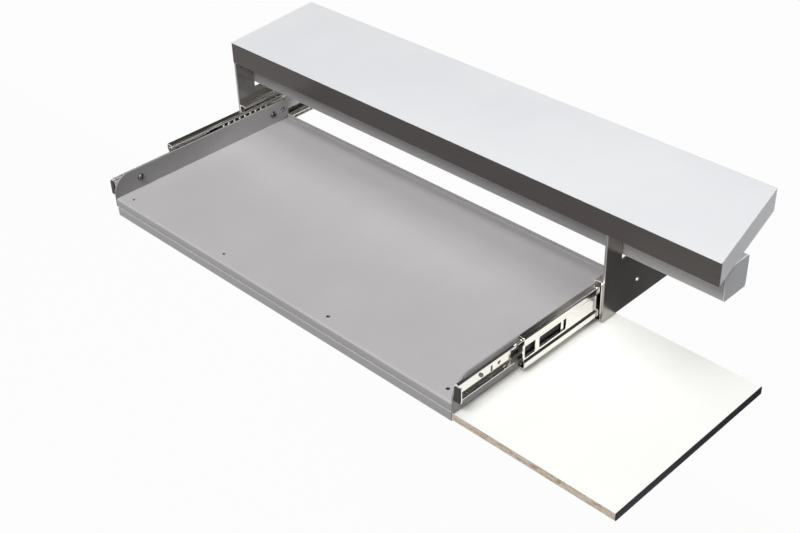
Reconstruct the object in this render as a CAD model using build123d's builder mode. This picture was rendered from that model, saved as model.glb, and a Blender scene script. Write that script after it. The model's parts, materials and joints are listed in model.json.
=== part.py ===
from build123d import *
import os

# Keyboard shelf: a sheet-steel tray on telescopic ball slides, hung from a worktop section.
# Millimetres. X runs to the right, Y to the back, Z up.
# The origin lies midway between the two rail bolts, in the rear face of the cross rail.

os.makedirs("parts", exist_ok=True)

SIDES = (("left", -1), ("right", 1))
fit_gap = 0.05

# Widths, measured outwards from the middle of the tray
tray_half_width = 249.2
side_plate = 2.0
slide_width = 12.7
slide_face = tray_half_width + side_plate
bracket_face = slide_face + slide_width
bracket_plate = 2.5
bracket_outside = bracket_face + bracket_plate

# Cross rail under the worktop
rail_size = 35.0
rail_wall = 2.0
rail_corner = 3.0
rail_left = -bracket_outside
rail_overrun = 107.6
rail_right = bracket_outside + rail_overrun
rail_length = rail_right - rail_left
rail_top = rail_size / 2
rail_mid_y = -rail_size / 2

# M8 rivet nuts in the rear wall of the rail
bolt_inset = 26.4
bolt_spacing = 2 * (bracket_outside - bolt_inset)
nut_bore_radius = 3.4
nut_body_radius = 5.4
nut_flange_radius = 7.5
nut_flange = 1.2
nut_length = 15.0
nut_bulge_radius = 6.6

# Worktop section
worktop_thickness = 25.0
worktop_front = -61.5
worktop_back = 74.5
worktop_overrun = 117.4
left_skew = 15.6
right_skew = 30.2
worktop_left_front = -bracket_outside
worktop_left_back = worktop_left_front - left_skew
worktop_right_front = bracket_outside + worktop_overrun
worktop_right_back = worktop_right_front - right_skew
laminate = 0.8
backing = 0.5
front_band = 2.0
end_band = 1.0
worktop_bottom = rail_top
worktop_top = worktop_bottom + worktop_thickness
core_bottom = worktop_bottom + backing
core_top = worktop_top - laminate

# Brackets
slide_length = 250.0
bracket_front = -61.0
bracket_bottom = -81.6
bracket_back = bracket_front + slide_length
bracket_back_height = -34.0
bracket_shoulder = 74.0
notch_front = -36.0
notch_back = 1.5
notch_bottom = -22.2
notch_corner = 2.0
flange_width = 18.0
flange_front = 6.0
flange_back = 70.0
wood_screw_depths = (20.0, 58.0)
wood_screw_offset = bracket_face - flange_width / 2

# Telescopic slides
slide_z = -58.2
outer_front = bracket_front
middle_front = -169.0
tray_front = -251.5
inner_front = tray_front + 1.0
sheet = 1.0
inner_sheet = 1.2
outer_half_height = 22.5
middle_half_height = 17.5
middle_web_u = 8.7
bead_web_u = 10.35
bead_start_w = 8.0
bead_full_w = 10.8
bead_lip_u = 2.2
bead_lip_w = 13.8
bead_end_u = 7.0
inner_half_height = 9.7
inner_reach = 4.6
ball_radius = 2.0
groove_radius = 2.1
inner_ball_u = 3.8
inner_ball_w = 11.5
outer_ball_u = 6.4
outer_ball_w = 19.5
ball_pitch = 8.0
ball_count = 9
inner_cage_length = 92.6
outer_cage_length = 80.0
cage_rear_margin = 8.0
cage_bar = 3.6
cage_rim = 1.6
cage_sheet = 0.5
inner_cage_web_u = 7.75
outer_cage_web_u = 11.3
cage_edge = 0.7
inner_cage_front = -114.6
outer_cage_front = -35.0
outer_screw_inset = 53.0
outer_screw_rear_inset = 37.0
tray_screw_inset = 33.9
tray_screw_rear_inset = 24.1
outer_screw_depths = (
    outer_front + outer_screw_inset,
    outer_front + slide_length - outer_screw_rear_inset,
)
tray_screw_depths = (
    inner_front + tray_screw_inset,
    inner_front + slide_length - tray_screw_rear_inset,
)

# Tray
tray_back = tray_front + slide_length
floor_top = -70.5
tray_sheet = 1.5
hem_bottom = floor_top - 10.2
hem_depth = 20.0
rear_lip_top = floor_top + 4.0
side_fold_bottom = hem_bottom + 0.5
side_fold_front = tray_front + 23.5
side_fold_back = tray_back - 2.5
plate_top = slide_z + 12.4
plate_corner = 21.0

# Mouse board and its guides
guide_sheet = 1.0
guide_height = 11.0
guide_lip = 12.0
guide_flange = 18.0
guide_bottom = hem_bottom - guide_height
guide_half_length = tray_half_width - 0.4
board_length = 366.0
board_front = tray_front + guide_sheet + 0.3
board_back = -38.2
board_thickness = 8.0
board_bottom = guide_bottom + guide_sheet + 0.1
board_top = board_bottom + board_thickness
board_laminate = 0.4
board_band = 1.0
stop_radius = 4.0
stop_y = -60.0
stop_height = 6.0
stop_gap = 0.2
board_middle = tray_half_width - tray_sheet - stop_radius - stop_gap
end_rivet_x = tray_half_width - 15.7
middle_rivet_x = 78.0
guide_rivet_x = (-end_rivet_x, -middle_rivet_x, middle_rivet_x, end_rivet_x)
guide_rivet_y = tray_front + 12.7
rear_rivet_y = board_back + 11.2
rivet_access_radius = 2.0


def save(part, name):
    """Label a finished piece and write it under its own name."""
    part.label = name
    export_step(part, f"parts/{name}.step")


def facing_front(depth):
    """Upright plane at this depth, drawn in X and Z; extruding from it runs forwards."""
    return Plane.XZ.offset(-depth)


def facing_right(x):
    """Upright plane at this X, drawn in Y and Z; extruding from it runs to the right."""
    return Plane.YZ.offset(x)


def across(x, y, z, side):
    """Plane at a point that looks straight out to one side, for screws and pins."""
    return Plane(origin=(x, y, z), x_dir=(0, 1, 0), z_dir=(side, 0, 0))


def section(side, points):
    """Turn slide section points, out from the tray and up from mid height, into X and Z."""
    return [(side * (slide_face + u), slide_z + w) for u, w in points]


def pin_profile(points):
    """Close a half section, radius by height, that a screw or pin is revolved from."""
    with BuildSketch(Plane.XZ) as profile:
        with BuildLine():
            Polyline(*points, close=True)
        make_face()
    return profile.sketch


def turned(points):
    """Revolve radius and height points about Z into one screw, pin or nut."""
    with BuildPart() as piece:
        add(pin_profile(points))
        revolve(axis=Axis.Z)
    return piece.part


def placed(piece, planes):
    """Copy one turned piece to each plane, as a group of separate solids."""
    return Compound(children=[plane.location * piece for plane in planes])


# Worktop
def worktop_outline(front, back, inset):
    """Plan of a worktop layer between two depths, drawn in from both skewed ends."""
    depth = worktop_back - worktop_front
    left_slope = (worktop_left_back - worktop_left_front) / depth
    right_slope = (worktop_right_back - worktop_right_front) / depth

    def left(y):
        return worktop_left_front + left_slope * (y - worktop_front) + inset

    def right(y):
        return worktop_right_front + right_slope * (y - worktop_front) - inset

    return [(left(front), front), (right(front), front), (right(back), back), (left(back), back)]


core_front = worktop_front + front_band
rail_screw_x = (-150.0, 50.0, 250.0)
rail_screw_radius = 2.2
wood_screw_radius = 2.0
rail_screw_reach = 16.0
wood_screw_reach = 14.0
wood_screw_spots = [
    (side * wood_screw_offset, y) for name, side in SIDES for y in wood_screw_depths
]
rail_screw_spots = [(x, rail_mid_y) for x in rail_screw_x]

with BuildPart() as worktop_core:
    with BuildSketch(Plane.XY.offset(core_bottom)):
        with BuildLine():
            Polyline(*worktop_outline(core_front, worktop_back, end_band), close=True)
        make_face()
    extrude(amount=core_top - core_bottom)
    with BuildSketch(Plane.XY.offset(core_bottom)):
        with Locations(*wood_screw_spots):
            Circle(wood_screw_radius + fit_gap)
    extrude(amount=wood_screw_reach - backing, mode=Mode.SUBTRACT)
    with BuildSketch(Plane.XY.offset(core_bottom)):
        with Locations(*rail_screw_spots):
            Circle(rail_screw_radius + fit_gap)
    extrude(amount=rail_screw_reach - backing, mode=Mode.SUBTRACT)
save(worktop_core.part, "worktop_core")

with BuildPart() as worktop_backing:
    with BuildSketch(Plane.XY.offset(worktop_bottom)):
        with BuildLine():
            Polyline(*worktop_outline(core_front, worktop_back, end_band), close=True)
        make_face()
        with Locations(*wood_screw_spots):
            Circle(wood_screw_radius + fit_gap, mode=Mode.SUBTRACT)
        with Locations(*rail_screw_spots):
            Circle(rail_screw_radius + fit_gap, mode=Mode.SUBTRACT)
    extrude(amount=backing)
save(worktop_backing.part, "worktop_backing")

with BuildPart() as worktop_laminate:
    with BuildSketch(Plane.XY.offset(core_top)):
        with BuildLine():
            Polyline(*worktop_outline(worktop_front, worktop_back, 0), close=True)
        make_face()
    extrude(amount=laminate)
save(worktop_laminate.part, "worktop_laminate")

with BuildPart() as worktop_front_band:
    with BuildSketch(Plane.XY.offset(worktop_bottom)):
        with BuildLine():
            Polyline(*worktop_outline(worktop_front, core_front, 0), close=True)
        make_face()
    extrude(amount=core_top - worktop_bottom)
save(worktop_front_band.part, "worktop_front_band")

outer_plan = worktop_outline(core_front, worktop_back, 0)
inner_plan = worktop_outline(core_front, worktop_back, end_band)
with BuildPart() as worktop_end_bands:
    with BuildSketch(Plane.XY.offset(worktop_bottom)):
        with BuildLine():
            Polyline(outer_plan[0], inner_plan[0], inner_plan[3], outer_plan[3], close=True)
        make_face()
        with BuildLine():
            Polyline(inner_plan[1], outer_plan[1], outer_plan[2], inner_plan[2], close=True)
        make_face()
    extrude(amount=core_top - worktop_bottom)
save(worktop_end_bands.part, "worktop_end_bands")

# Cross rail: square tube with nut holes behind, screw holes above, driver holes below
nut_places = [facing_front(0).origin + Vector(x, 0, 0) for x in (-bolt_spacing / 2, bolt_spacing / 2)]
driver_hole_radius = 6.0
with BuildPart() as cross_rail:
    with BuildSketch(facing_right(rail_left)):
        with Locations((rail_mid_y, 0)):
            RectangleRounded(rail_size, rail_size, rail_corner)
            RectangleRounded(
                rail_size - 2 * rail_wall,
                rail_size - 2 * rail_wall,
                rail_corner - rail_wall,
                mode=Mode.SUBTRACT,
            )
    extrude(amount=rail_length)
    with BuildSketch(facing_front(0)):
        with Locations(*[(place.X, 0) for place in nut_places]):
            Circle(nut_body_radius)
    extrude(amount=rail_wall, mode=Mode.SUBTRACT)
    with BuildSketch(Plane.XY.offset(-rail_top)):
        with Locations(*rail_screw_spots):
            Circle(driver_hole_radius)
    extrude(amount=rail_wall, mode=Mode.SUBTRACT)
    with BuildSketch(Plane.XY.offset(rail_top)):
        with Locations(*rail_screw_spots):
            Circle(rail_screw_radius + fit_gap)
    extrude(amount=-rail_wall, mode=Mode.SUBTRACT)
save(cross_rail.part, "cross_rail")

# Plastic caps pushed into the tube's ends
cap_lip = 1.5
cap_plug = 14.0
cap_corner = 1.0
cap_clearance = 0.1
plug_size = rail_size - 2 * (rail_wall + cap_clearance)
with BuildPart() as rail_end_caps:
    for end, outwards in ((rail_left, -1), (rail_right, 1)):
        with BuildSketch(facing_right(end)):
            with Locations((rail_mid_y, 0)):
                RectangleRounded(rail_size, rail_size, rail_corner)
        extrude(amount=outwards * cap_lip)
        with BuildSketch(facing_right(end)):
            with Locations((rail_mid_y, 0)):
                RectangleRounded(plug_size, plug_size, cap_corner)
        extrude(amount=-outwards * cap_plug)
save(rail_end_caps.part, "rail_end_caps")

rivet_nut = turned(
    [
        (nut_bore_radius, nut_flange),
        (nut_flange_radius, nut_flange),
        (nut_flange_radius, 0),
        (nut_body_radius, 0),
        (nut_body_radius, -rail_wall),
        (nut_bulge_radius, -rail_wall - 0.5),
        (nut_bulge_radius, -rail_wall - 2.5),
        (nut_body_radius, -rail_wall - 4.0),
        (nut_body_radius, -nut_length),
        (nut_bore_radius, -nut_length),
    ]
)
nut_planes = [Plane(origin=tuple(place), z_dir=(0, 1, 0)) for place in nut_places]
rail_rivet_nuts = placed(rivet_nut, nut_planes)
save(rail_rivet_nuts, "rail_rivet_nuts")


def wood_screw(radius, head_radius, head_height, reach):
    """Pan-head wood screw that points up, with its head under a seat at height zero."""
    tip = reach - 2.5 * radius
    return turned(
        [
            (0, -head_height),
            (head_radius * 0.6, -head_height),
            (head_radius, -head_height * 0.45),
            (head_radius, 0),
            (radius, 0),
            (radius, tip),
            (0, reach),
        ]
    )


rail_screw = wood_screw(rail_screw_radius, 4.4, 2.6, rail_wall + rail_screw_reach)
rail_screws = placed(
    rail_screw,
    [Plane(origin=(x, rail_mid_y, rail_top - rail_wall)) for x in rail_screw_x],
)
save(rail_screws, "rail_screws")

bracket_screw = wood_screw(wood_screw_radius, 4.0, 2.2, bracket_plate + wood_screw_reach)
bracket_screws = placed(
    bracket_screw,
    [Plane(origin=(x, y, worktop_bottom - bracket_plate)) for x, y in wood_screw_spots],
)
save(bracket_screws, "bracket_screws")

# Brackets: a plate notched round the rail, with a screw flange folded inwards behind it
countersink_radius = 3.8
machine_screw_radius = 2.0


def bracket(side):
    """One hanging bracket, for the left side (-1) or the right side (1)."""
    with BuildPart() as plate:
        with BuildSketch(facing_right(side * bracket_face)):
            with BuildLine():
                Polyline(
                    (bracket_front, bracket_bottom),
                    (bracket_front, worktop_bottom),
                    (notch_front, worktop_bottom),
                    (notch_front, notch_bottom),
                    (notch_back, notch_bottom),
                    (notch_back, worktop_bottom),
                    (bracket_shoulder, worktop_bottom),
                    (bracket_back, bracket_back_height),
                    (bracket_back, bracket_bottom),
                    close=True,
                )
            make_face()
        extrude(amount=side * bracket_plate)
        notch_edges = plate.edges().filter_by(Axis.X).filter_by_position(
            Axis.Z, notch_bottom - 0.1, notch_bottom + 0.1
        )
        fillet(notch_edges, notch_corner)
        bottom_edges = plate.edges().filter_by(Axis.X).group_by(Axis.Z)[0]
        fillet(bottom_edges, 2.5)
        with BuildSketch(Plane.XY.offset(worktop_bottom - bracket_plate)):
            flange_middle = side * (bracket_face - flange_width / 2)
            with Locations((flange_middle, (flange_front + flange_back) / 2)):
                Rectangle(flange_width, flange_back - flange_front)
            with Locations(*[spot for spot in wood_screw_spots if spot[0] * side > 0]):
                Circle(wood_screw_radius + fit_gap, mode=Mode.SUBTRACT)
        extrude(amount=bracket_plate)
        with Locations(*[across(side * bracket_face, y, slide_z, side) for y in outer_screw_depths]):
            Cylinder(
                machine_screw_radius + fit_gap,
                bracket_plate,
                align=(Align.CENTER, Align.CENTER, Align.MIN),
                mode=Mode.SUBTRACT,
            )
            Cone(
                countersink_radius - sheet,
                machine_screw_radius,
                countersink_radius - sheet - machine_screw_radius,
                align=(Align.CENTER, Align.CENTER, Align.MIN),
                mode=Mode.SUBTRACT,
            )
    return plate.part


for name, side in SIDES:
    save(bracket(side), f"bracket_{name}")


# Slide members
def outer_member(side):
    """Cabinet member: a lipped channel that is open towards the tray."""
    lip_u = 3.6
    lip_w = 19.9
    flange_w = outer_half_height - sheet / 2
    web_u = slide_width - sheet / 2
    points = [
        (lip_u, lip_w),
        (lip_u, flange_w),
        (web_u, flange_w),
        (web_u, -flange_w),
        (lip_u, -flange_w),
        (lip_u, -lip_w),
    ]
    with BuildPart() as member:
        with BuildSketch(facing_front(outer_front + slide_length)):
            with BuildLine():
                FilletPolyline(*section(side, points), radius=1.0)
            trace(line_width=sheet)
            with Locations(*section(side, [(outer_ball_u, outer_ball_w), (outer_ball_u, -outer_ball_w)])):
                Circle(groove_radius, mode=Mode.SUBTRACT)
        extrude(amount=slide_length)
        web_x = side * (slide_face + slide_width - sheet)
        with Locations(*[across(web_x, y, slide_z, side) for y in outer_screw_depths]):
            Cylinder(
                machine_screw_radius + fit_gap,
                sheet,
                align=(Align.CENTER, Align.CENTER, Align.MIN),
                mode=Mode.SUBTRACT,
            )
            Cone(
                countersink_radius,
                countersink_radius - sheet,
                sheet,
                align=(Align.CENTER, Align.CENTER, Align.MIN),
                mode=Mode.SUBTRACT,
            )
    return member.part


def middle_member(side):
    """Intermediate member: a recessed, windowed web between two beads that hold the ball tracks."""
    window_front = middle_front + 2.0
    window_length = 14.7
    window_height = 13.0
    slot_front = middle_front + 22.3
    slot_length = 38.2
    slot_height = 12.0
    bead_top_w = middle_half_height - sheet / 2
    upper_half = [
        (bead_end_u, bead_lip_w),
        (bead_lip_u, bead_lip_w),
        (bead_lip_u, bead_top_w),
        (bead_web_u, bead_top_w),
        (bead_web_u, bead_full_w),
        (middle_web_u, bead_start_w),
    ]
    points = upper_half + [(u, -w) for u, w in reversed(upper_half)]
    grooves = [
        (inner_ball_u, inner_ball_w),
        (inner_ball_u, -inner_ball_w),
        (outer_ball_u, outer_ball_w),
        (outer_ball_u, -outer_ball_w),
    ]
    with BuildPart() as member:
        with BuildSketch(facing_front(middle_front + slide_length)):
            with BuildLine():
                FilletPolyline(*section(side, points), radius=1.5)
            trace(line_width=sheet)
            with Locations(*section(side, grooves)):
                Circle(groove_radius, mode=Mode.SUBTRACT)
        extrude(amount=slide_length)
        with BuildSketch(facing_right(side * (slide_face + middle_web_u - sheet / 2))):
            with Locations((window_front + window_length / 2, slide_z)):
                RectangleRounded(window_length, window_height, 1.0)
            with Locations((slot_front + slot_length / 2, slide_z)):
                RectangleRounded(slot_length, slot_height, 1.0)
        extrude(amount=side * sheet, mode=Mode.SUBTRACT)
    return member.part


lever_pivot_depth = 133.0
lever_pivot_y = inner_front + lever_pivot_depth
lever_pin_radius = 1.5
lever_outside_u = 5.6
stop_tab_front = inner_front + 1.5
tab_reach = 7.6
tab_top_w = 7.2
tab_bottom_w = -8.8
spare_hole_inset = 8.8
spare_hole_y = inner_front + slide_length - spare_hole_inset
spare_hole_radius = 3.8
slot_inset = 48.0
locating_hole_inset = 57.9


def inner_member(side):
    """Drawer member: a channel that is open outwards, closed in front by a folded stop tab."""
    flange_w = inner_half_height - inner_sheet / 2
    points = [
        (inner_reach, flange_w),
        (inner_sheet / 2, flange_w),
        (inner_sheet / 2, -flange_w),
        (inner_reach, -flange_w),
    ]
    with BuildPart() as member:
        with BuildSketch(facing_front(inner_front + slide_length)):
            with BuildLine():
                FilletPolyline(*section(side, points), radius=1.2)
            trace(line_width=inner_sheet)
            with Locations(*section(side, [(inner_ball_u, inner_ball_w), (inner_ball_u, -inner_ball_w)])):
                Circle(groove_radius, mode=Mode.SUBTRACT)
        extrude(amount=inner_front + slide_length - stop_tab_front)
        with BuildSketch(facing_front(stop_tab_front + inner_sheet)):
            with Locations(*section(side, [(tab_reach / 2, (tab_top_w + tab_bottom_w) / 2)])):
                Rectangle(tab_reach, tab_top_w - tab_bottom_w)
        extrude(amount=inner_sheet)
        with BuildSketch(facing_right(side * slide_face)):
            with Locations(*[(y, slide_z) for y in tray_screw_depths]):
                Circle(machine_screw_radius + fit_gap)
            with Locations((inner_front + slot_inset, slide_z - 1.5)):
                SlotOverall(7.6, 2.4, rotation=90)
            with Locations((inner_front + locating_hole_inset, slide_z)):
                Circle(2.0)
            with Locations((spare_hole_y, slide_z)):
                Circle(spare_hole_radius - 0.6)
            with Locations((lever_pivot_y, slide_z)):
                Circle(lever_pin_radius + 0.02)
        extrude(amount=side * inner_sheet, mode=Mode.SUBTRACT)
    return member.part


def cage(side, front, length, track_u, track_w, web_u):
    """Ball retainer: two pierced strips, joined at each end by an upright bar."""
    strip_start = track_u - ball_radius - cage_edge
    points = [(strip_start, track_w), (web_u, track_w), (web_u, -track_w), (strip_start, -track_w)]
    first_ball = front + length - cage_rear_margin - (ball_count - 1) * ball_pitch
    ball_line = [first_ball + n * ball_pitch for n in range(ball_count)]
    with BuildPart() as retainer:
        with BuildSketch(facing_front(front + length)):
            with BuildLine():
                FilletPolyline(*section(side, points), radius=0.5)
            trace(line_width=cage_sheet)
        extrude(amount=length)
        with BuildSketch(facing_right(side * (slide_face + web_u - cage_sheet / 2))):
            with Locations((front + length / 2, slide_z)):
                RectangleRounded(length - 2 * cage_bar, 2 * (track_w - cage_rim), 1.0)
        extrude(amount=side * cage_sheet, mode=Mode.SUBTRACT)
        with BuildSketch(Plane.XY.offset(slide_z - outer_half_height)):
            with Locations(*[(side * (slide_face + track_u), y) for y in ball_line]):
                Circle(groove_radius)
        extrude(amount=2 * outer_half_height, mode=Mode.SUBTRACT)
    ball_centres = [
        (side * (slide_face + track_u), y, slide_z + w) for w in (track_w, -track_w) for y in ball_line
    ]
    with BuildPart() as balls:
        with Locations(*ball_centres):
            Sphere(ball_radius)
    return retainer.part, balls.part


def front_bumper(side):
    """Plastic buffer on the front of the drawer member, against the stop tab."""
    inside_u = 0.2
    outside_u = 6.6
    top_w = 7.4
    bottom_w = -9.0
    middle = ((inside_u + outside_u) / 2, (top_w + bottom_w) / 2)
    with BuildPart() as bumper:
        with BuildSketch(facing_front(stop_tab_front)):
            with Locations(*section(side, [middle])):
                RectangleRounded(outside_u - inside_u, top_w - bottom_w, 1.0)
        extrude(amount=stop_tab_front - inner_front)
        fillet(bumper.faces().sort_by(Axis.Y)[0].edges(), 0.4)
    return bumper.part


def rear_bumper(side):
    """Plastic buffer in the back of the cabinet member, where the tray comes to rest."""
    inside_u = 1.5
    outside_u = slide_width - sheet
    height = 16.0
    thickness = 2.4
    with BuildPart() as bumper:
        with BuildSketch(facing_front(outer_front + slide_length)):
            with Locations(*section(side, [((inside_u + outside_u) / 2, 0)])):
                RectangleRounded(outside_u - inside_u, height, 1.0)
        extrude(amount=thickness)
    return bumper.part


def lever(side):
    """Release lever in the drawer member: a nose, a pierced body and a springy tail."""
    nose_front = lever_pivot_y - 47.0
    nose_half_height = 4.0
    body_front = lever_pivot_y - 29.5
    body_back = lever_pivot_y + 12.5
    body_half_height = 5.6
    inside_u = 1.5
    outside_u = lever_outside_u
    tail_length = 24.0
    tail_drop = 3.2
    nose_button = 6.0
    with BuildPart() as piece:
        with BuildSketch(facing_right(side * (slide_face + inside_u))):
            with Locations(((nose_front + lever_pivot_y) / 2, slide_z)):
                RectangleRounded(lever_pivot_y - nose_front, 2 * nose_half_height, 1.2)
            with Locations(((body_front + body_back) / 2, slide_z)):
                RectangleRounded(body_back - body_front, 2 * body_half_height, 2.0)
            with Locations((lever_pivot_y + tail_length / 2, slide_z - tail_drop)):
                RectangleRounded(tail_length, 1.6, 0.6)
            with Locations((lever_pivot_y, slide_z)):
                Circle(lever_pin_radius + fit_gap, mode=Mode.SUBTRACT)
        extrude(amount=side * (outside_u - inside_u))
        with BuildSketch(facing_right(side * (slide_face + outside_u))):
            with Locations((nose_front + 1.0 + nose_button / 2, slide_z)):
                RectangleRounded(nose_button, nose_button, 1.0)
        extrude(amount=side * 0.6)
    return piece.part


pin_head_u = lever_outside_u + 0.1
pin_top_u = pin_head_u + 0.5
lever_pin = turned(
    [
        (0, 0),
        (lever_pin_radius, 0),
        (lever_pin_radius, pin_head_u),
        (2.8, pin_head_u),
        (2.4, pin_top_u),
        (0, pin_top_u),
    ]
)
countersunk_screw = turned(
    [
        (0, 0),
        (countersink_radius - fit_gap, 0),
        (machine_screw_radius, countersink_radius - fit_gap - machine_screw_radius),
        (machine_screw_radius, sheet + bracket_plate + 0.8),
        (machine_screw_radius - 0.4, sheet + bracket_plate + 1.2),
        (0, sheet + bracket_plate + 1.2),
    ]
)
pan_screw = turned(
    [
        (0, -2.4),
        (2.4, -2.4),
        (3.6, -1.6),
        (4.0, 0),
        (machine_screw_radius, 0),
        (machine_screw_radius, 4.6),
        (machine_screw_radius - 0.4, 5.0),
        (0, 5.0),
    ]
)

for name, side in SIDES:
    save(outer_member(side), f"outer_slide_{name}")
    save(middle_member(side), f"middle_slide_{name}")
    save(inner_member(side), f"inner_slide_{name}")
    inner_cage, inner_balls = cage(
        side, inner_cage_front, inner_cage_length, inner_ball_u, inner_ball_w, inner_cage_web_u
    )
    save(inner_cage, f"inner_ball_cage_{name}")
    save(inner_balls, f"inner_balls_{name}")
    outer_cage, outer_balls = cage(
        side, outer_cage_front, outer_cage_length, outer_ball_u, outer_ball_w, outer_cage_web_u
    )
    save(outer_cage, f"outer_ball_cage_{name}")
    save(outer_balls, f"outer_balls_{name}")
    save(front_bumper(side), f"front_bumper_{name}")
    save(rear_bumper(side), f"rear_bumper_{name}")
    save(lever(side), f"release_lever_{name}")
    pin_plane = across(side * slide_face, lever_pivot_y, slide_z, side)
    save(pin_plane.location * lever_pin, f"lever_pin_{name}")
    web_x = side * (slide_face + slide_width - sheet)
    outer_planes = [across(web_x, y, slide_z, side) for y in outer_screw_depths]
    save(placed(countersunk_screw, outer_planes), f"slide_screws_{name}")
    tray_planes = [across(side * tray_half_width, y, slide_z, side) for y in tray_screw_depths]
    save(placed(pan_screw, tray_planes), f"tray_screws_{name}")


# Tray: one folded pan between two side plates
fold_rivet_depths = [tray_front + slide_length * n / 6 for n in (1, 3, 5)]
fold_rivet_z = floor_top - 5.5
rivet_radius = 1.6
fold_top = floor_top - 1.0

with BuildPart() as tray_pan:
    half_sheet = tray_sheet / 2
    with BuildSketch(facing_right(-tray_half_width)):
        with BuildLine():
            FilletPolyline(
                (tray_front + hem_depth, hem_bottom + half_sheet),
                (tray_front + half_sheet, hem_bottom + half_sheet),
                (tray_front + half_sheet, floor_top - half_sheet),
                (tray_back - half_sheet, floor_top - half_sheet),
                (tray_back - half_sheet, rear_lip_top),
                radius=1.5,
            )
        trace(line_width=tray_sheet)
    extrude(amount=2 * tray_half_width)
    for side in (-1, 1):
        with BuildSketch(facing_right(side * tray_half_width)):
            with Locations(((side_fold_front + side_fold_back) / 2, (side_fold_bottom + fold_top) / 2)):
                Rectangle(side_fold_back - side_fold_front, fold_top - side_fold_bottom)
        extrude(amount=-side * tray_sheet)
    with BuildSketch(facing_right(-tray_half_width)):
        with Locations(*[(y, fold_rivet_z) for y in fold_rivet_depths]):
            Circle(rivet_radius + fit_gap)
    extrude(amount=2 * tray_half_width, mode=Mode.SUBTRACT)
    with BuildSketch(Plane.XY.offset(hem_bottom)):
        with Locations(*[(x, guide_rivet_y) for x in guide_rivet_x]):
            Circle(rivet_radius + fit_gap)
    extrude(amount=tray_sheet, mode=Mode.SUBTRACT)
    with BuildSketch(Plane.XY.offset(floor_top - tray_sheet)):
        with Locations(*[(x, guide_rivet_y) for x in guide_rivet_x]):
            Circle(rivet_access_radius)
        with Locations(*[(x, rear_rivet_y) for x in guide_rivet_x]):
            Circle(rivet_radius + fit_gap)
    extrude(amount=tray_sheet, mode=Mode.SUBTRACT)
save(tray_pan.part, "tray_pan")


def side_plate_part(side):
    """Side cheek of the tray, with a large round at its upper front corner."""
    rear_chamfer = 3.0
    with BuildPart() as plate:
        with BuildSketch(facing_right(side * tray_half_width)):
            with BuildLine():
                Line((tray_front, hem_bottom), (tray_front, plate_top - plate_corner))
                RadiusArc(
                    (tray_front, plate_top - plate_corner),
                    (tray_front + plate_corner, plate_top),
                    plate_corner,
                )
                Polyline(
                    (tray_front + plate_corner, plate_top),
                    (tray_back - rear_chamfer, plate_top),
                    (tray_back, plate_top - rear_chamfer),
                    (tray_back, hem_bottom),
                    (tray_front, hem_bottom),
                )
            make_face()
            with Locations(*[(y, slide_z) for y in tray_screw_depths]):
                Circle(machine_screw_radius + fit_gap, mode=Mode.SUBTRACT)
            with Locations((spare_hole_y, slide_z)):
                Circle(spare_hole_radius, mode=Mode.SUBTRACT)
            with Locations(*[(y, fold_rivet_z) for y in fold_rivet_depths]):
                Circle(rivet_radius + fit_gap, mode=Mode.SUBTRACT)
        extrude(amount=side * side_plate)
    return plate.part


def rivet(grip, head_height, tail_height):
    """Rivet along Z, with a low head under height zero and an upset tail past the grip.

    A height of zero leaves that end flush with the sheet.
    """
    points = [(0, -head_height)]
    if head_height:
        points += [(1.8, -head_height), (2.9, 0)]
    points += [(rivet_radius, 0), (rivet_radius, grip)]
    if tail_height:
        points += [(2.4, grip), (2.0, grip + tail_height)]
    return turned(points + [(0, grip + tail_height)])


for name, side in SIDES:
    save(side_plate_part(side), f"side_plate_{name}")
    fold_planes = [across(side * slide_face, y, fold_rivet_z, -side) for y in fold_rivet_depths]
    fold_rivets = placed(rivet(side_plate + tray_sheet, 0.8, 1.0), fold_planes)
    save(fold_rivets, f"side_rivets_{name}")

# Mouse board guides: a lipped channel in front, and an angle with a keeper behind
rear_web_y = board_back + 0.8
keeper_y = rear_web_y - guide_sheet
keeper_front = keeper_y - 11.6
keeper_rivet_z = hem_bottom + 3.7
rear_flange_back = rear_web_y + 19.4
floor_underside = floor_top - tray_sheet
half_guide = guide_sheet / 2

with BuildPart() as front_guide:
    with BuildSketch(facing_right(-guide_half_length)):
        with BuildLine():
            FilletPolyline(
                (tray_front + guide_lip, guide_bottom + half_guide),
                (tray_front + half_guide, guide_bottom + half_guide),
                (tray_front + half_guide, hem_bottom - half_guide),
                (tray_front + guide_flange, hem_bottom - half_guide),
                radius=0.8,
            )
        trace(line_width=guide_sheet)
    extrude(amount=2 * guide_half_length)
    with BuildSketch(Plane.XY.offset(hem_bottom - guide_sheet)):
        with Locations(*[(x, guide_rivet_y) for x in guide_rivet_x]):
            Circle(rivet_radius + fit_gap)
    extrude(amount=guide_sheet, mode=Mode.SUBTRACT)
save(front_guide.part, "front_guide")

with BuildPart() as rear_guide:
    rear_half_length = guide_half_length - 4.0
    with BuildSketch(facing_right(-rear_half_length)):
        with BuildLine():
            FilletPolyline(
                (rear_web_y - guide_lip, guide_bottom + half_guide),
                (rear_web_y, guide_bottom + half_guide),
                (rear_web_y, floor_underside - half_guide),
                (rear_flange_back, floor_underside - half_guide),
                radius=0.8,
            )
        trace(line_width=guide_sheet)
    extrude(amount=2 * rear_half_length)
    with BuildSketch(Plane.XY.offset(floor_underside - guide_sheet)):
        with Locations(*[(x, rear_rivet_y) for x in guide_rivet_x]):
            Circle(rivet_radius + fit_gap)
    extrude(amount=guide_sheet, mode=Mode.SUBTRACT)
    with BuildSketch(facing_front(rear_web_y + half_guide)):
        with Locations(*[(x, keeper_rivet_z) for x in guide_rivet_x]):
            Circle(rivet_radius + fit_gap)
    extrude(amount=guide_sheet, mode=Mode.SUBTRACT)
save(rear_guide.part, "rear_guide")

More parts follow.
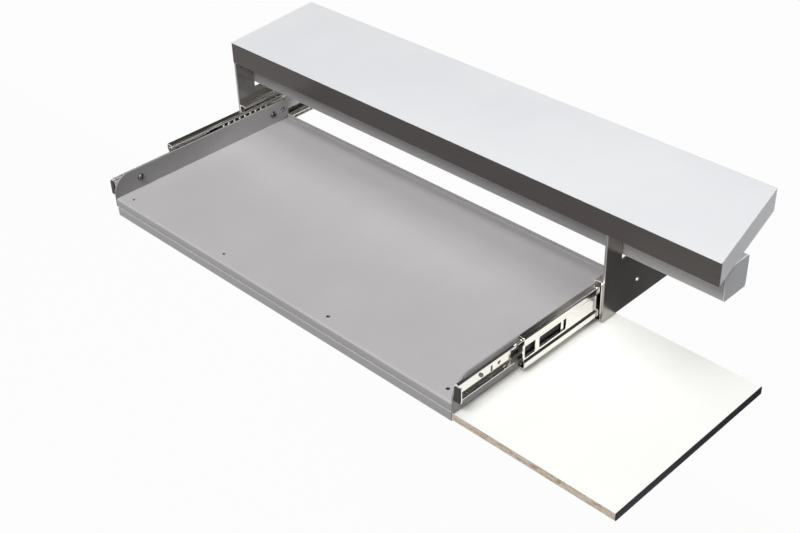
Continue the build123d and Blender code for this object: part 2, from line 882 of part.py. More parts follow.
with BuildPart() as rear_keeper:
    with BuildSketch(facing_right(-rear_half_length)):
        with BuildLine():
            FilletPolyline(
                (keeper_front, hem_bottom - half_guide),
                (keeper_y, hem_bottom - half_guide),
                (keeper_y, floor_underside - 2.0),
                radius=0.8,
            )
        trace(line_width=guide_sheet)
    extrude(amount=2 * rear_half_length)
    with BuildSketch(facing_front(keeper_y + half_guide)):
        with Locations(*[(x, keeper_rivet_z) for x in guide_rivet_x]):
            Circle(rivet_radius + fit_gap)
    extrude(amount=guide_sheet, mode=Mode.SUBTRACT)
save(rear_keeper.part, "rear_keeper")

hem_rivet = rivet(tray_sheet + guide_sheet, 1.0, 0)
hem_planes = [
    Plane(origin=(x, guide_rivet_y, hem_bottom + tray_sheet), z_dir=(0, 0, -1)) for x in guide_rivet_x
]
save(placed(hem_rivet, hem_planes), "front_guide_rivets")

floor_rivet = rivet(tray_sheet + guide_sheet, 0, 0.8)
floor_planes = [Plane(origin=(x, rear_rivet_y, floor_top), z_dir=(0, 0, -1)) for x in guide_rivet_x]
save(placed(floor_rivet, floor_planes), "rear_guide_rivets")

keeper_rivet = rivet(2 * guide_sheet, 0.8, 0.8)
keeper_planes = [
    Plane(origin=(x, rear_web_y + half_guide, keeper_rivet_z), z_dir=(0, -1, 0)) for x in guide_rivet_x
]
save(placed(keeper_rivet, keeper_planes), "keeper_rivets")

# Mouse board: chipboard between two laminates, banded at its ends
stop_bore = 1.8
core_half = board_length / 2 - board_band
board_mid_y = (board_front + board_back) / 2
board_depth = board_back - board_front


def board_layer(bottom, top, pierced):
    """One layer of the board, pierced where the stop screw goes through it."""
    with BuildPart() as layer:
        with BuildSketch(Plane.XY.offset(bottom)):
            with Locations((board_middle, board_mid_y)):
                Rectangle(2 * core_half, board_depth)
            if pierced:
                with Locations((board_middle, stop_y)):
                    Circle(stop_bore + fit_gap, mode=Mode.SUBTRACT)
        extrude(amount=top - bottom)
    return layer.part


core_under = board_bottom + board_laminate
core_over = board_top - board_laminate
save(board_layer(board_bottom, core_under, pierced=False), "board_underside")
save(board_layer(core_under, core_over, pierced=True), "board_core")
save(board_layer(core_over, board_top, pierced=True), "board_top")

with BuildPart() as board_end_bands:
    with BuildSketch(Plane.XY.offset(board_bottom)):
        band_offset = core_half + board_band / 2
        with Locations((board_middle - band_offset, board_mid_y), (board_middle + band_offset, board_mid_y)):
            Rectangle(board_band, board_depth)
    extrude(amount=board_top - board_bottom)
save(board_end_bands.part, "board_end_bands")

board_stop = turned(
    [
        (0, core_under),
        (stop_bore, core_under),
        (stop_bore, board_top),
        (stop_radius, board_top),
        (stop_radius, board_top + stop_height - 0.6),
        (stop_radius - 0.6, board_top + stop_height),
        (0, board_top + stop_height),
    ]
)
save(Location((board_middle, stop_y, 0)) * board_stop, "board_stop")
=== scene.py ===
import json
import math

import bmesh
import bpy
from mathutils import Matrix, Vector


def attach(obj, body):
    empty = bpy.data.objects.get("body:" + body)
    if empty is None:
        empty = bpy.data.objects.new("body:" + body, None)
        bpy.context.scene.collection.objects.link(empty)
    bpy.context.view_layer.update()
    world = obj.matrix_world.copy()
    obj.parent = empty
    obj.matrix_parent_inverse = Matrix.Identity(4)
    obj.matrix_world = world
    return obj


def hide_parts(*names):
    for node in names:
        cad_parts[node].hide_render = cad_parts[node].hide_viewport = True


# A pull-out keyboard shelf: painted sheet steel, zinc-plated ball slides and faced chipboard.
# Everything is in metres, in the frame's own axes: X right, Y back, Z up.

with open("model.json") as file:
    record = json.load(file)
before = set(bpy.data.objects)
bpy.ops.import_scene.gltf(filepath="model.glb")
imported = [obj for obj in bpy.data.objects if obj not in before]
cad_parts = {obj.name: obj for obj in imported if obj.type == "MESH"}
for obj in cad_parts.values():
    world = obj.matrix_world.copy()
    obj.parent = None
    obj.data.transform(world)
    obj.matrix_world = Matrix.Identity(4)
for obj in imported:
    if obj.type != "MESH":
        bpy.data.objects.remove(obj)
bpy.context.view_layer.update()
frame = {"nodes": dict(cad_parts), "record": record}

MM = 0.001
WELD = 0.001  # mm between corners that are one
FLAT_ANGLE = 0.6  # degrees between faces that are one flat
EDGE_ANGLE = 35  # degrees past which a fold is an edge to round
FLAT_LEAD = 60  # percent by which the flat faces lead the shading
SMOOTH_ANGLE = 32  # degrees up to which a surface shades as a round
SIDES = {"left": -1, "right": 1}
BODY_OF = {
    name: body
    for body, names in frame["record"]["behaviour"]["bodies"].items()
    for name in names
}
SLOT_OF = {part["node"]: part["material_slot"] for part in frame["record"]["subparts"]}


# Modelling helpers

def begin():
    """Deselect everything, so that a new primitive is alone in the selection."""
    if bpy.context.object and bpy.context.object.mode != "OBJECT":
        bpy.ops.object.mode_set(mode="OBJECT")
    bpy.ops.object.select_all(action="DESELECT")


def choose(obj):
    """Leave only this object selected and active, in object mode."""
    begin()
    obj.select_set(True)
    bpy.context.view_layer.objects.active = obj


def apply_modifier(obj, kind, **settings):
    """Add one modifier with its settings and apply it."""
    modifier = obj.modifiers.new(kind.lower(), kind)
    for name, value in settings.items():
        setattr(modifier, name, value)
    choose(obj)
    bpy.ops.object.modifier_apply(modifier=modifier.name)


def round_edges(obj, width):
    """Break every sharp edge with a small round, as a press, a tumbler or a mould leaves it."""
    apply_modifier(
        obj,
        "BEVEL",
        width=width * MM,
        segments=2,
        limit_method="ANGLE",
        angle_limit=math.radians(EDGE_ANGLE),
        use_clamp_overlap=False,
        harden_normals=False,
        miter_outer="MITER_ARC",
    )


def shade(obj):
    """Smooth the round surfaces, keep the folds crisp and let the flat faces lead the shading."""
    choose(obj)
    bpy.ops.object.shade_smooth_by_angle(angle=math.radians(SMOOTH_ANGLE))
    apply_modifier(obj, "WEIGHTED_NORMAL", mode="FACE_AREA", weight=FLAT_LEAD, keep_sharp=True)


def settle(obj):
    """Write an object's place into its mesh, so that the object sits at the origin."""
    obj.data.transform(obj.matrix_world)
    obj.matrix_world = Matrix.Identity(4)
    return obj


def dress(obj, name, material):
    """Name a finished piece, give it its finish and let it stand for its CAD node."""
    obj.name = f"{name}_piece"
    obj.data.name = obj.name
    obj.data.materials.clear()
    obj.data.materials.append(material)
    shade(obj)
    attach(obj, BODY_OF[name])
    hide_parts(name)


def merged_copy(name):
    """A copy of a CAD node with its loose triangles welded and its flat faces made whole."""
    source = frame["nodes"][name]
    obj = bpy.data.objects.new(f"{name}_piece", source.data.copy())
    bpy.context.scene.collection.objects.link(obj)
    choose(obj)
    bpy.ops.object.mode_set(mode="EDIT")
    bpy.ops.mesh.select_all(action="SELECT")
    bpy.ops.mesh.remove_doubles(threshold=WELD * MM)
    bpy.ops.mesh.dissolve_limited(angle_limit=math.radians(FLAT_ANGLE))
    bpy.ops.object.mode_set(mode="OBJECT")
    return obj


def solids_of(name):
    """Box of each separate solid in a CAD node, as (lowest corner, highest corner) pairs."""
    mesh = bmesh.new()
    mesh.from_mesh(frame["nodes"][name].data)
    bmesh.ops.remove_doubles(mesh, verts=mesh.verts, dist=WELD * MM)
    unseen = set(mesh.verts)
    boxes = []
    while unseen:
        island = []
        queue = [unseen.pop()]
        while queue:
            vertex = queue.pop()
            island.append(vertex.co.copy())
            for edge in vertex.link_edges:
                other = edge.other_vert(vertex)
                if other in unseen:
                    unseen.remove(other)
                    queue.append(other)
        low = Vector([min(point[axis] for point in island) for axis in range(3)])
        high = Vector([max(point[axis] for point in island) for axis in range(3)])
        boxes.append((low, high))
    mesh.free()
    return sorted(boxes, key=lambda pair: tuple(pair[0]))


# Material helpers

def linear(hex_colour):
    """An sRGB hex colour as linear red, green, blue and alpha."""
    channels = [int(hex_colour[i:i + 2], 16) / 255 for i in (1, 3, 5)]
    return [c / 12.92 if c <= 0.04045 else ((c + 0.055) / 1.055) ** 2.4 for c in channels] + [1.0]


def per_mm(size):
    """Texture scale, in repeats a metre, of a pattern whose grains are this many millimetres."""
    return 1000.0 / size


def add_node(tree, kind, settings=(), **inputs):
    """Add one shader node; each input is a value, or the socket that feeds it."""
    made = tree.nodes.new(kind)
    for name, value in dict(settings).items():
        setattr(made, name, value)
    for name, value in inputs.items():
        socket = made.inputs[name.replace("_", " ")]
        if isinstance(value, bpy.types.NodeSocket):
            tree.links.new(value, socket)
        else:
            socket.default_value = value
    return made


def bare_material(name):
    """A material with an empty tree; returns both."""
    material = bpy.data.materials.new(name)
    material.use_nodes = True
    material.node_tree.nodes.clear()
    return material, material.node_tree


def new_material(name):
    """A material with a Principled shader; returns it with its tree, shader and place."""
    material, tree = bare_material(name)
    shader = add_node(tree, "ShaderNodeBsdfPrincipled")
    output = add_node(tree, "ShaderNodeOutputMaterial")
    tree.links.new(shader.outputs["BSDF"], output.inputs["Surface"])
    place = add_node(tree, "ShaderNodeTexCoord").outputs["Object"]
    return material, tree, shader, place


def tint(tree, shader, pattern, *stops):
    """Colour a finish along a pattern, through (position, hex colour) stops."""
    shades = add_node(tree, "ShaderNodeValToRGB", Fac=pattern)
    while len(shades.color_ramp.elements) < len(stops):
        shades.color_ramp.elements.new(0.5)
    for element, (position, colour) in zip(shades.color_ramp.elements, stops):
        element.position = position
        element.color = linear(colour)
    tree.links.new(shades.outputs["Color"], shader.inputs["Base Color"])


def emboss(tree, shader, pattern, strength, depth):
    """Let a pattern rise and sink in the surface, by a depth in millimetres."""
    relief = add_node(
        tree,
        "ShaderNodeBump",
        Height=pattern,
        Strength=strength,
        Distance=depth * MM,
    )
    tree.links.new(relief.outputs["Normal"], shader.inputs["Normal"])


def vary_gloss(tree, shader, pattern, smoothest, roughest):
    """Let the roughness follow a pattern."""
    spread = add_node(tree, "ShaderNodeMapRange", Value=pattern)
    spread.inputs["To Min"].default_value = smoothest
    spread.inputs["To Max"].default_value = roughest
    tree.links.new(spread.outputs["Result"], shader.inputs["Roughness"])


# Materials

def powder_coat(name, dark, light, roughness, shine, metallic=0.0):
    """Polyester powder coat, baked on sheet steel: an even satin skin with a faint orange peel.

    With a metallic share it is the kind with aluminium flake, which mirrors its surroundings softly.
    """
    material, tree, shader, place = new_material(name)
    mottle = add_node(tree, "ShaderNodeTexNoise", Vector=place, Scale=per_mm(60), Detail=3.0)
    tint(tree, shader, mottle.outputs["Fac"], (0.3, dark), (0.7, light))
    # Real orange peel is about 0.7 mm; it is drawn at 1.6 mm so that it shows.
    peel = add_node(tree, "ShaderNodeTexNoise", Vector=place, Scale=per_mm(1.6), Detail=2.0)
    emboss(tree, shader, peel.outputs["Fac"], 0.05, 0.25)
    gloss = add_node(tree, "ShaderNodeTexNoise", Vector=place, Scale=per_mm(25), Detail=4.0)
    vary_gloss(tree, shader, gloss.outputs["Fac"], roughness - 0.05, roughness + 0.06)
    shader.inputs["Specular IOR Level"].default_value = shine
    shader.inputs["Metallic"].default_value = metallic
    return material


def melamine(name, dark, light):
    """Melamine-faced board, pressed against a fine pearl plate: even, clean and softly glossy."""
    material, tree, shader, place = new_material(name)
    cloud = add_node(tree, "ShaderNodeTexNoise", Vector=place, Scale=per_mm(140), Detail=2.0)
    tint(tree, shader, cloud.outputs["Fac"], (0.35, dark), (0.65, light))
    # The pearl is 0.5 mm in the real sheet and drawn at 1.2 mm.
    pearl = add_node(tree, "ShaderNodeTexNoise", Vector=place, Scale=per_mm(1.2), Detail=1.0)
    emboss(tree, shader, pearl.outputs["Fac"], 0.06, 0.2)
    shader.inputs["Roughness"].default_value = 0.38
    shader.inputs["IOR"].default_value = 1.5
    return material


def abs_edging(name, base, light, roughness, shine):
    """Extruded ABS edging, glued on and trimmed: fine drawn lines along its length."""
    material, tree, shader, place = new_material(name)
    stretched = add_node(tree, "ShaderNodeMapping", Vector=place, Scale=(0.02, 0.02, 1.0))
    lines = add_node(
        tree,
        "ShaderNodeTexNoise",
        Vector=stretched.outputs["Vector"],
        Scale=per_mm(1.2),
        Detail=3.0,
    )
    tint(tree, shader, lines.outputs["Fac"], (0.3, base), (0.7, light))
    emboss(tree, shader, lines.outputs["Fac"], 0.08, 0.2)
    shader.inputs["Roughness"].default_value = roughness
    shader.inputs["Specular IOR Level"].default_value = shine
    return material


def raw_chipboard():
    """Sawn three-layer chipboard: flat flakes of spruce, coarse in the core, fine at the faces."""
    material, tree, shader, place = new_material("raw_chipboard")
    flat = add_node(tree, "ShaderNodeMapping", Vector=place, Scale=(0.35, 0.35, 1.0))
    flakes = add_node(
        tree,
        "ShaderNodeTexVoronoi",
        Vector=flat.outputs["Vector"],
        Scale=per_mm(1.3),
        Randomness=1.0,
    )
    tone = add_node(tree, "ShaderNodeSeparateColor", Color=flakes.outputs["Color"])
    tint(
        tree,
        shader,
        tone.outputs["Red"],
        (0.0, "#cdb191"),
        (0.25, "#ead3ba"),
        (0.6, "#f6e6d3"),
        (1.0, "#fdf3e6"),
    )
    emboss(tree, shader, flakes.outputs["Distance"], 0.5, 0.4)
    shader.inputs["Roughness"].default_value = 0.85
    return material


def zinc_plate(name, dark, light, roughness):
    """Bright zinc on cold-rolled strip: pale metal with the rolling lines along the slide."""
    material, tree, shader, place = new_material(name)
    rolled = add_node(tree, "ShaderNodeMapping", Vector=place, Scale=(1.0, 0.03, 1.0))
    lines = add_node(
        tree,
        "ShaderNodeTexNoise",
        Vector=rolled.outputs["Vector"],
        Scale=per_mm(0.9),
        Detail=4.0,
    )
    tint(tree, shader, lines.outputs["Fac"], (0.25, dark), (0.75, light))
    vary_gloss(tree, shader, lines.outputs["Fac"], roughness - 0.06, roughness + 0.10)
    emboss(tree, shader, lines.outputs["Fac"], 0.06, 0.1)
    shader.inputs["Metallic"].default_value = 1.0
    return material


def ball_steel():
    """Ground and polished bearing steel, under a trace of grease."""
    material, tree, shader, place = new_material("ball_steel")
    haze = add_node(tree, "ShaderNodeTexNoise", Vector=place, Scale=per_mm(3), Detail=2.0)
    tint(tree, shader, haze.outputs["Fac"], (0.3, "#cfcfd0"), (0.7, "#e6e6e4"))
    shader.inputs["Metallic"].default_value = 1.0
    shader.inputs["Roughness"].default_value = 0.12
    return material


def acetal_black():
    """Injection-moulded black acetal: fine spark-eroded grain, dull highlights."""
    material, tree, shader, place = new_material("acetal_black")
    grain = add_node(tree, "ShaderNodeTexNoise", Vector=place, Scale=per_mm(0.8), Detail=3.0)
    tint(tree, shader, grain.outputs["Fac"], (0.3, "#161617"), (0.7, "#232324"))
    emboss(tree, shader, grain.outputs["Fac"], 0.15, 0.2)
    shader.inputs["Roughness"].default_value = 0.5
    shader.inputs["IOR"].default_value = 1.48
    return material


def paper_backing():
    """Resin-soaked backing paper on the board's underside: plain, matt and warm white."""
    material, tree, shader, place = new_material("paper_backing")
    fibre = add_node(tree, "ShaderNodeTexNoise", Vector=place, Scale=per_mm(8), Detail=6.0)
    tint(tree, shader, fibre.outputs["Fac"], (0.3, "#cfcbc4"), (0.7, "#dad7d1"))
    shader.inputs["Roughness"].default_value = 0.7
    return material


# The side plates take a darker copy of the pan's coat, a painted shade for the dim light on their
# sides; the brackets' coat has metal flake in it.
tray_grey = powder_coat("powder_coat_silver_grey", "#bdbbbc", "#c1bfc0", 0.42, 0.35)
side_coat_painted_shade = powder_coat("powder_coat_side_painted_shade", "#9c9a9b", "#a09f9f", 0.42, 0.35)
bracket_grey = powder_coat("metallic_coat_bracket_grey", "#a3a09c", "#aba8a4", 0.24, 0.5, 0.94)
# The worktop is a bluish white, the mouse board a creamy one.
white_face = melamine("melamine_cool_white", "#e9ebee", "#eff0f2")
board_face = melamine("melamine_warm_white", "#fbfbf7", "#fefefb")
brown_edging = abs_edging("abs_edging_grey_brown", "#4d4746", "#554f4d", 0.28, 0.3)
black_edging = abs_edging("abs_edging_black", "#2f2a32", "#39343c", 0.5, 0.12)
chipboard = raw_chipboard()
# The strip keeps its mill gloss, screws are duller, and those through the tray take a darker zinc, a
# painted shade for the dark of their heads and holes.
zinc = zinc_plate("zinc_plated_strip", "#e6e4de", "#f8f6f1", 0.12)
zinc_screws = zinc_plate("zinc_plated_screws", "#cfcfca", "#e6e6e2", 0.24)
dark_zinc_painted_shade = zinc_plate("dark_zinc_screws_painted_shade", "#5d5b58", "#7b7975", 0.26)
balls = ball_steel()
acetal = acetal_black()
backing = paper_backing()

FINISH = {
    "white_laminate": white_face,
    "backing_foil": backing,
    "chipboard": chipboard,
    "brown_edge_band": brown_edging,
    "black_edge_band": black_edging,
    "grey_paint": tray_grey,
    "dark_paint": bracket_grey,
    "black_plastic": acetal,
    "white_plastic": white_face,
    "zinc_steel": zinc,
    "ball_steel": balls,
}
# The side plates' own finish is the darker coat of painted shade.
OWN_FINISH = {
    "side_plate_left": side_coat_painted_shade,
    "side_plate_right": side_coat_painted_shade,
    "board_top": board_face,
    "board_underside": board_face,
}


def finish_of(name):
    """A CAD node's finish: its own, or its slot's."""
    return OWN_FINISH.get(name) or FINISH[SLOT_OF[name]]


# Sheet-metal and board pieces: each takes its CAD shape, with its edges broken

# Width of each round, in mm
EDGE_ROUND = {
    "tray_pan": 0.25,
    "front_guide": 0.2,
    "rear_guide": 0.2,
    "rear_keeper": 0.2,
    "cross_rail": 0.2,
    "side_plate_left": 0.45,
    "side_plate_right": 0.45,
    "bracket_left": 0.45,
    "bracket_right": 0.45,
    "worktop_laminate": 0.3,
    "worktop_front_band": 0.5,
    "worktop_end_bands": 0.3,
    "board_end_bands": 0.3,
    "rail_end_caps": 0.4,
}
for side in SIDES:
    EDGE_ROUND[f"outer_slide_{side}"] = 0.2
    EDGE_ROUND[f"middle_slide_{side}"] = 0.2
    EDGE_ROUND[f"inner_slide_{side}"] = 0.2
    EDGE_ROUND[f"release_lever_{side}"] = 0.35
    EDGE_ROUND[f"front_bumper_{side}"] = 0.3
    EDGE_ROUND[f"rear_bumper_{side}"] = 0.4

for name, width in EDGE_ROUND.items():
    piece = merged_copy(name)
    round_edges(piece, width)
    dress(piece, name, finish_of(name))


# Fasteners: each is turned once, cut where it is driven, and copied to its seats

LATHE_STEPS = 28
LATHE_WELD = 0.002  # mm between the two ends of a closed outline


def thread(radius, depth, start, end, pitch):
    """Rings of a screw thread between two heights: a root and a crest for each turn."""
    root_share, crest_share = 0.15, 0.65
    rings = []
    for turn in range(int((end - start) / pitch)):
        height = start + turn * pitch
        rings.append((radius - depth, height + root_share * pitch))
        rings.append((radius, height + crest_share * pitch))
    return rings


def lathe(name, rings, hollow=False):
    """Turn a piece along Z, ring by ring from its (radius, height) steps in millimetres."""
    begin()
    radius, height = rings[0]
    bpy.ops.mesh.primitive_circle_add(
        vertices=LATHE_STEPS,
        radius=radius * MM,
        fill_type="NOTHING" if hollow else "NGON",
        location=(0, 0, 0),
    )
    obj = bpy.context.object
    bpy.ops.object.mode_set(mode="EDIT")
    bpy.ops.mesh.select_all(action="SELECT")
    bpy.ops.transform.translate(value=(0, 0, height * MM))
    rings_to_come = rings[1:] + [rings[0]] if hollow else rings[1:]
    for next_radius, next_height in rings_to_come:
        rise = (next_height - height) * MM
        scale = next_radius / radius
        if hollow:
            bpy.ops.mesh.extrude_edges_move(TRANSFORM_OT_translate={"value": (0, 0, rise)})
        else:
            bpy.ops.mesh.extrude_region_move(TRANSFORM_OT_translate={"value": (0, 0, rise)})
        bpy.ops.transform.resize(value=(scale, scale, 1))
        radius, height = next_radius, next_height
    bpy.ops.mesh.select_all(action="SELECT")
    bpy.ops.mesh.remove_doubles(threshold=LATHE_WELD * MM)
    bpy.ops.mesh.normals_make_consistent(inside=False)
    bpy.ops.object.mode_set(mode="OBJECT")
    obj.name = name
    return settle(obj)


def cut(obj, cutter):
    """Take a cutter's shape out of a piece, and the cutter away."""
    apply_modifier(obj, "BOOLEAN", operation="DIFFERENCE", solver="EXACT", object=cutter)
    bpy.data.objects.remove(cutter)


def cross_recess(obj, top, span, depth):
    """Press a cross recess for a driver into a head whose face is at this height."""
    blade_share = 0.22  # of the span
    taper = (0.45, 0.6, 1)
    facing_in = 0.9
    for turn in (0, 90):
        begin()
        bpy.ops.mesh.primitive_cube_add(size=1, location=(0, 0, 0))
        blade = bpy.context.object
        bpy.ops.object.mode_set(mode="EDIT")
        bpy.ops.mesh.select_all(action="SELECT")
        bpy.ops.transform.resize(value=(span * MM, blade_share * span * MM, 2 * depth * MM))
        bpy.ops.transform.translate(value=(0, 0, top * MM))
        bpy.ops.mesh.select_all(action="DESELECT")
        bpy.ops.object.mode_set(mode="OBJECT")
        # The blade narrows towards its deep end
        for face in blade.data.polygons:
            face.select = face.normal.z > facing_in
        bpy.ops.object.mode_set(mode="EDIT")
        bpy.ops.transform.resize(value=taper)
        bpy.ops.object.mode_set(mode="OBJECT")
        blade.matrix_world = Matrix.Rotation(math.radians(turn), 4, "Z")
        cut(obj, settle(blade))


def fit(master, name, direction, material):
    """Copy a turned piece to each solid of a CAD node, along a direction, and dress the group."""
    along = Vector(direction)
    turn = Vector((0, 0, 1)).rotation_difference(along).to_matrix().to_4x4()
    lowest = min(vertex.co.z for vertex in master.data.vertices)
    copies = []
    for low, high in solids_of(name):
        half = abs((high - low).dot(along)) / 2
        seat = (low + high) / 2 - along * (half + lowest)
        copy = bpy.data.objects.new(f"{name}_piece", master.data.copy())
        bpy.context.scene.collection.objects.link(copy)
        copy.matrix_world = Matrix.Translation(seat) @ turn
        copies.append(settle(copy))
    choose(copies[0])
    for copy in copies:
        copy.select_set(True)
    bpy.ops.object.join()
    dress(copies[0], name, material)


pan_screw = lathe(
    "pan_screw",
    [(0.9, -2.4), (2.2, -2.34), (3.1, -2.02), (3.7, -1.45), (3.95, -0.7), (4.0, -0.25)]
    + [(3.85, 0), (1.98, 0)]
    + thread(2.0, 0.3, 0.6, 4.6, 0.7)
    + [(1.6, 4.8), (1.3, 5.0)],
)
cross_recess(pan_screw, -2.4, 4.4, 1.5)
countersunk_screw = lathe(
    "countersunk_screw",
    [(3.45, 0), (3.75, 0.12), (3.68, 0.28), (2.0, 1.8), (1.98, 2.1)]
    + thread(2.0, 0.3, 2.2, 4.2, 0.7)
    + [(1.6, 4.4), (1.2, 4.7)],
)
cross_recess(countersunk_screw, 0, 4.0, 1.3)
rail_screw = lathe(
    "rail_screw",
    [(1.2, -2.6), (2.7, -2.55), (3.7, -2.1), (4.3, -1.2), (4.4, -0.4), (4.2, 0)]
    + [(2.18, 0), (2.18, 2.4)]
    + thread(2.2, 0.55, 2.4, 14.0, 1.7)
    + [(1.0, 15.2), (0.3, 17.8)],
)
cross_recess(rail_screw, -2.6, 4.6, 1.7)
bracket_screw = lathe(
    "bracket_screw",
    [(1.1, -2.2), (2.5, -2.15), (3.4, -1.75), (3.9, -1.0), (4.0, -0.35), (3.8, 0)]
    + [(1.98, 0), (1.98, 2.8)]
    + thread(2.0, 0.5, 2.8, 13.0, 1.6)
    + [(0.9, 14.0), (0.3, 16.3)],
)
cross_recess(bracket_screw, -2.2, 4.2, 1.5)
nut_bore, nut_end, nut_thread, nut_pitch = 3.4, -15.0, 0.35, 1.2
rivet_nut = lathe(
    "rivet_nut",
    [(nut_bore, 1.2), (7.2, 1.2), (7.5, 0.9), (7.5, 0.0), (5.38, 0), (5.38, -2.0), (6.2, -2.5)]
    + [(6.6, -3.4), (6.6, -4.0), (6.1, -5.3), (5.38, -6.0), (5.38, nut_end + 0.4)]
    + [(5.0, nut_end), (nut_bore, nut_end)]
    + [(nut_bore + nut_thread * (step % 2), nut_end + nut_pitch * step) for step in range(1, 13)],
    hollow=True,
)
lever_pin = lathe(
    "lever_pin",
    [(1.3, 0), (1.5, 0.2), (1.5, 5.7), (2.75, 5.7), (2.8, 5.85), (2.65, 6.05)]
    + [(2.2, 6.18), (1.0, 6.2)],
)
side_rivet = lathe(
    "side_rivet",
    [(0.5, -0.8), (1.5, -0.72), (2.3, -0.45), (2.9, 0), (1.6, 0), (1.6, 3.5), (2.4, 3.5)]
    + [(2.45, 3.9), (2.2, 4.3), (1.4, 4.5), (0.5, 4.5)],
)
hem_rivet = lathe(
    "hem_rivet",
    [(0.5, -1.0), (1.5, -0.9), (2.4, -0.5), (2.9, 0), (1.6, 0), (1.6, 2.4), (1.4, 2.5)],
)
floor_rivet = lathe(
    "floor_rivet",
    [(1.4, 0), (1.58, 0.15), (1.6, 2.5), (2.4, 2.5), (2.4, 2.9), (2.1, 3.2), (1.2, 3.3)],
)
keeper_rivet = lathe(
    "keeper_rivet",
    [(0.5, -0.8), (1.5, -0.72), (2.3, -0.45), (2.9, 0), (1.6, 0), (1.6, 2.0), (2.4, 2.0)]
    + [(2.4, 2.4), (2.1, 2.7), (1.2, 2.8)],
)
stop_screw = lathe(
    "stop_screw",
    [(1.5, 0), (1.8, 0.3), (1.8, 7.6), (3.8, 7.6), (4.0, 7.8), (4.0, 12.9), (3.75, 13.35)]
    + [(3.2, 13.6), (1.5, 13.6), (1.4, 12.4)],
)

for side, sign in SIDES.items():
    # The tray screws take the darker zinc of painted shade.
    fit(pan_screw, f"tray_screws_{side}", (sign, 0, 0), dark_zinc_painted_shade)
    fit(countersunk_screw, f"slide_screws_{side}", (sign, 0, 0), zinc_screws)
    fit(lever_pin, f"lever_pin_{side}", (sign, 0, 0), acetal)
    fit(side_rivet, f"side_rivets_{side}", (-sign, 0, 0), side_coat_painted_shade)
fit(rail_screw, "rail_screws", (0, 0, 1), zinc_screws)
fit(bracket_screw, "bracket_screws", (0, 0, 1), zinc_screws)
fit(rivet_nut, "rail_rivet_nuts", (0, 1, 0), zinc_screws)
fit(hem_rivet, "front_guide_rivets", (0, 0, -1), tray_grey)
fit(floor_rivet, "rear_guide_rivets", (0, 0, -1), tray_grey)
fit(keeper_rivet, "keeper_rivets", (0, -1, 0), tray_grey)
fit(stop_screw, "board_stop", (0, 0, 1), acetal)
for master in (
    pan_screw, countersunk_screw, rail_screw, bracket_screw, rivet_nut, lever_pin,
    side_rivet, hem_rivet, floor_rivet, keeper_rivet, stop_screw,
):
    bpy.data.objects.remove(master)

# What stays as the CAD made it gets its finish
for name, obj in frame["nodes"].items():
    if f"{name}_piece" not in bpy.data.objects:
        obj.data.materials.clear()
        obj.data.materials.append(finish_of(name))


# Studio

FLOOR_Z = -0.75
FLOOR_BACK = 0.45
FLOOR_RIGHT = 2.6
FLOOR_SPAN = 6.0
PAPER_WHITE = 1.04
PAPER_SHARE = 0.93
ROOM_GREY = (0.045, 0.045, 0.047, 1)
ROOM_WHITE = 0.98


def sees_background(tree):
    """1 for a camera ray, and for a ray that metal or glass sends on; 0 for the rays that light."""
    path = add_node(tree, "ShaderNodeLightPath")
    direct = add_node(tree, "ShaderNodeMath", {"operation": "MAXIMUM"})
    tree.links.new(path.outputs["Is Camera Ray"], direct.inputs[0])
    tree.links.new(path.outputs["Is Transmission Ray"], direct.inputs[1])
    either = add_node(tree, "ShaderNodeMath", {"operation": "MAXIMUM"})
    tree.links.new(direct.outputs["Value"], either.inputs[0])
    tree.links.new(path.outputs["Is Glossy Ray"], either.inputs[1])
    return either.outputs["Value"]


def studio_paper():
    """Matt paper that the camera, metal and glass see as white, and that still takes a shadow."""
    material, tree = bare_material("studio_paper")
    paper = add_node(tree, "ShaderNodeBsdfDiffuse", Color=linear("#7c7c7c"))
    glow = add_node(tree, "ShaderNodeEmission", Color=(1, 1, 1, 1), Strength=PAPER_WHITE)
    seen = add_node(tree, "ShaderNodeMath", {"operation": "MULTIPLY"})
    tree.links.new(sees_background(tree), seen.inputs[0])
    seen.inputs[1].default_value = PAPER_SHARE
    mix = add_node(tree, "ShaderNodeMixShader", Fac=seen.outputs["Value"])
    tree.links.new(paper.outputs["BSDF"], mix.inputs[1])
    tree.links.new(glow.outputs["Emission"], mix.inputs[2])
    output = add_node(tree, "ShaderNodeOutputMaterial")
    tree.links.new(mix.outputs["Shader"], output.inputs["Surface"])
    return material


begin()
bpy.ops.mesh.primitive_plane_add(
    size=FLOOR_SPAN,
    location=(FLOOR_RIGHT - FLOOR_SPAN / 2, FLOOR_BACK - FLOOR_SPAN / 2, FLOOR_Z),
)
floor = settle(bpy.context.object)
floor.name = "studio_floor"
floor.data.materials.append(studio_paper())

# The room is nearly dark, so most of the light is the lamps'
world = bpy.data.worlds.new("studio_world")
bpy.context.scene.world = world
world.use_nodes = True
sky = world.node_tree
sky.nodes.clear()
room = add_node(sky, "ShaderNodeBackground", Color=ROOM_GREY, Strength=1.0)
white = add_node(sky, "ShaderNodeBackground", Color=(1, 1, 1, 1), Strength=ROOM_WHITE)
blend = add_node(sky, "ShaderNodeMixShader", Fac=sees_background(sky))
sky.links.new(room.outputs["Background"], blend.inputs[1])
sky.links.new(white.outputs["Background"], blend.inputs[2])
sky_output = add_node(sky, "ShaderNodeOutputWorld")
sky.links.new(blend.outputs["Shader"], sky_output.inputs["Surface"])


def softbox(name, place, aim, width, height, watts):
    """A rectangular area lamp at a place, turned towards a point."""
    lamp = bpy.data.lights.new(name, "AREA")
    lamp.shape = "RECTANGLE"
    lamp.size = width
    lamp.size_y = height
    lamp.energy = watts
    obj = bpy.data.objects.new(name, lamp)
    bpy.context.scene.collection.objects.link(obj)
    obj.location = place
    obj.rotation_euler = (Vector(aim) - Vector(place)).to_track_quat("-Z", "Y").to_euler()


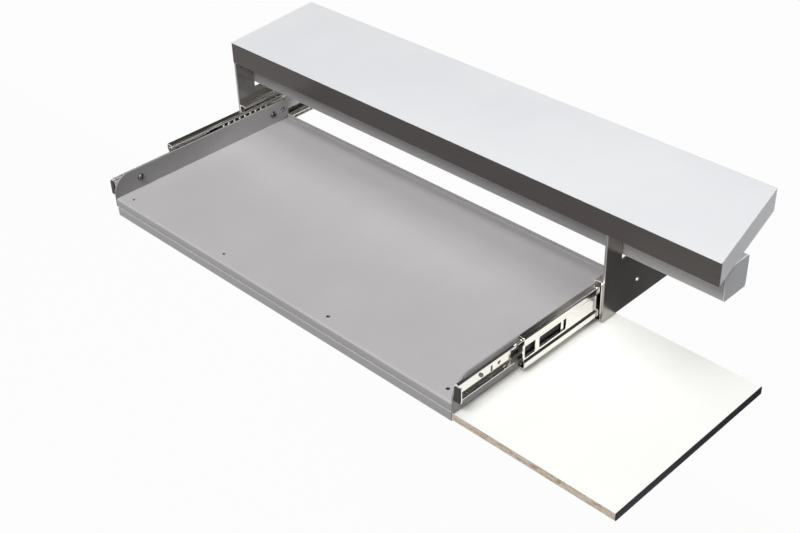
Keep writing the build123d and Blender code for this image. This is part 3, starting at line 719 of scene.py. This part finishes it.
# The light comes over the front, weaker lamps fill the tops and the back.
softbox("front_softbox", (0.65, -2.6, 3.4), (0.1, -0.1, -0.05), 2.2, 1.7, 143)
softbox("overhead_softbox", (0.1, -0.1, 3.2), (0.1, -0.1, 0.0), 2.2, 1.7, 31)
softbox("rear_softbox", (1.6, 2.6, 0.9), (0.1, 0.0, 0.0), 1.6, 0.8, 42)


def black_flag(name, place, aim, width, height):
    """A black cloth on a frame that only mirrored rays meet: it gives bright metal its dark side."""
    begin()
    bpy.ops.mesh.primitive_plane_add(size=1, location=(0, 0, 0))
    obj = bpy.context.object
    turn = (Vector(aim) - Vector(place)).to_track_quat("Z", "Y").to_matrix().to_4x4()
    obj.matrix_world = Matrix.Translation(place) @ turn @ Matrix.Diagonal((width, height, 1, 1))
    settle(obj)
    obj.name = name
    obj.data.materials.append(flag_cloth)
    obj.visible_camera = False
    obj.visible_diffuse = False
    obj.visible_shadow = False


flag_cloth, _, cloth_shader, _ = new_material("flag_cloth")
cloth_shader.inputs["Base Color"].default_value = linear("#141414")
cloth_shader.inputs["Roughness"].default_value = 0.95
black_flag("lower_rear_flag", (1.95, 0.7, -0.85), (1.95, -0.5, -0.85), 2.8, 2.0)
black_flag("upper_rear_flag", (0.3, 0.9, 1.1), (0.3, -0.5, 1.1), 5.4, 2.1)

# Camera: fitted to the straight edges of the object, for a 36 mm wide sensor
CAMERA_PLACE = (0.83987, -0.87849, 0.67736)
CAMERA_YAW = 45.958
CAMERA_PITCH = 34.9445
CAMERA_ROLL = -2.0827
CAMERA_LENS = 58.861

camera = bpy.data.objects.new("camera", bpy.data.cameras.new("camera"))
bpy.context.scene.collection.objects.link(camera)
camera.data.sensor_width = 36.0
camera.data.lens = CAMERA_LENS
camera.matrix_world = (
    Matrix.Translation(CAMERA_PLACE)
    @ Matrix.Rotation(math.radians(CAMERA_YAW), 4, "Z")
    @ Matrix.Rotation(math.radians(90 - CAMERA_PITCH), 4, "X")
    @ Matrix.Rotation(math.radians(CAMERA_ROLL), 4, "Z")
)
bpy.context.scene.camera = camera
bpy.context.scene.view_settings.view_transform = "Standard"
